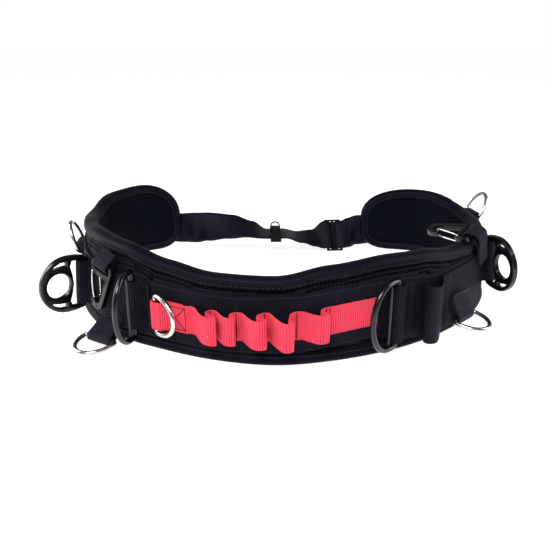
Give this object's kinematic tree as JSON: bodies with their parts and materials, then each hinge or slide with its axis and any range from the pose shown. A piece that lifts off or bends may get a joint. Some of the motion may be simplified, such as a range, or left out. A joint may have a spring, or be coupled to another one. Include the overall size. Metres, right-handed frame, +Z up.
{
  "type": "padded utility belt",
  "caption": "Padded belt for carrying gear, standing on its edge as a closed loop, with pleated webbing loops, D-rings, clips and a rear strap with a slider.",
  "frame": {"origin": "middle of the bounding box at its lowest level", "axes": "+X towards the wearer's left as seen from the front, +Z up; the front faces -Y"},
  "size_m": [0.4568, 0.3336, 0.09],
  "materials": {
    "mesh_fabric": "fine woven nylon over foam, with a smooth lining inside",
    "binding": "smooth folded tape",
    "black_webbing": "ribbed webbing",
    "red_webbing": "ribbed webbing",
    "steel": "polished nickel plate",
    "black_plastic": "satin black"
  },
  "bodies": {
    "belt": {"belt_pad": "mesh_fabric", "edge_binding": "binding", "carrier_webbing": "black_webbing", "red_webbing": "red_webbing", "right_side_webbing": "black_webbing", "left_side_webbing": "black_webbing", "left_ring_sleeve": "black_webbing", "right_ring_sleeve": "black_webbing", "low_left_tab": "black_webbing", "low_right_tab": "black_webbing", "rear_left_tab": "black_webbing", "rear_right_tab": "black_webbing", "left_clip_tab": "black_webbing", "left_clip_hook": "black_plastic", "right_clip_tab": "black_webbing", "right_clip_hook": "black_plastic", "waist_strap": "black_webbing", "strap_keeper": "black_plastic", "strap_adjuster": "black_plastic"},
    "red_ring": {"red_webbing_ring": "steel"},
    "right_buckle": {"right_buckle_ring": "black_plastic", "right_buckle_rod": "steel"},
    "left_buckle": {"left_buckle_ring": "black_plastic", "left_buckle_rod": "steel"},
    "left_side": {"left_side_ring": "black_plastic"},
    "right_side": {"right_side_ring": "black_plastic"},
    "low_left": {"low_left_ring": "steel"},
    "low_right": {"low_right_ring": "steel"},
    "rear_left": {"rear_left_ring": "steel"},
    "rear_right": {"rear_right_ring": "steel"},
    "left_gate": {"left_clip_gate": "steel"},
    "right_gate": {"right_clip_gate": "steel"}
  },
  "joints": [
    {"name": "red_ring_hinge", "type": "hinge", "parent": "belt", "child": "red_ring", "pos_m": [-0.10942, -0.12071, 0.036], "axis": [0.0092, 0.0195, 0.9998], "range_deg": [-125, 15]},
    {"name": "right_buckle_hinge", "type": "hinge", "parent": "belt", "child": "right_buckle", "pos_m": [0.09056, -0.12353, 0.03756], "axis": [-0.0063, 0.0134, 0.9999], "range_deg": [-18, 130]},
    {"name": "left_buckle_hinge", "type": "hinge", "parent": "belt", "child": "left_buckle", "pos_m": [-0.1301, -0.11087, 0.04062], "axis": [0.0152, 0.029, 0.9995], "range_deg": [-37, 55]},
    {"name": "left_side_ring_hinge", "type": "hinge", "parent": "belt", "child": "left_side", "pos_m": [-0.18899, -0.05723, 0.04], "axis": [0.0823, 0.0526, 0.9952], "range_deg": [-112, 60]},
    {"name": "right_side_ring_hinge", "type": "hinge", "parent": "belt", "child": "right_side", "pos_m": [0.20047, -0.01965, 0.047], "axis": [-0.0973, 0.0473, 0.9941], "range_deg": [-24, 125]},
    {"name": "low_left_ring_hinge", "type": "hinge", "parent": "belt", "child": "low_left", "pos_m": [-0.16138, -0.10974, 0.00746], "axis": [0.8793, -0.4762, -0.0097], "range_deg": [-122, 60]},
    {"name": "low_right_ring_hinge", "type": "hinge", "parent": "belt", "child": "low_right", "pos_m": [0.16137, -0.08014, 0.01391], "axis": [0.7351, 0.678, 0], "range_deg": [-98, 80]},
    {"name": "rear_left_ring_hinge", "type": "hinge", "parent": "belt", "child": "rear_left", "pos_m": [-0.21892, 0.03568, 0.04451], "axis": [0.1188, -0.9929, -0.0047], "range_deg": [-34, 110]},
    {"name": "rear_right_ring_hinge", "type": "hinge", "parent": "belt", "child": "rear_right", "pos_m": [0.21517, 0.08706, 0.06319], "axis": [-0.1498, 0.9887, 0.0016], "range_deg": [-70, 100]},
    {"name": "left_gate_hinge", "type": "hinge", "parent": "belt", "child": "left_gate", "pos_m": [-0.16753, -0.08296, 0.06145], "axis": [0.6168, 0.7836, -0.0736], "range_deg": [-14, 0], "stiffness_Nm_per_rad": 0.02, "springref_deg": 8.59},
    {"name": "right_gate_hinge", "type": "hinge", "parent": "belt", "child": "right_gate", "pos_m": [0.16187, -0.03702, 0.07473], "axis": [-0.2654, -0.1671, 0.9495], "range_deg": [-14, 0], "stiffness_Nm_per_rad": 0.02, "springref_deg": 8.59}
  ]
}
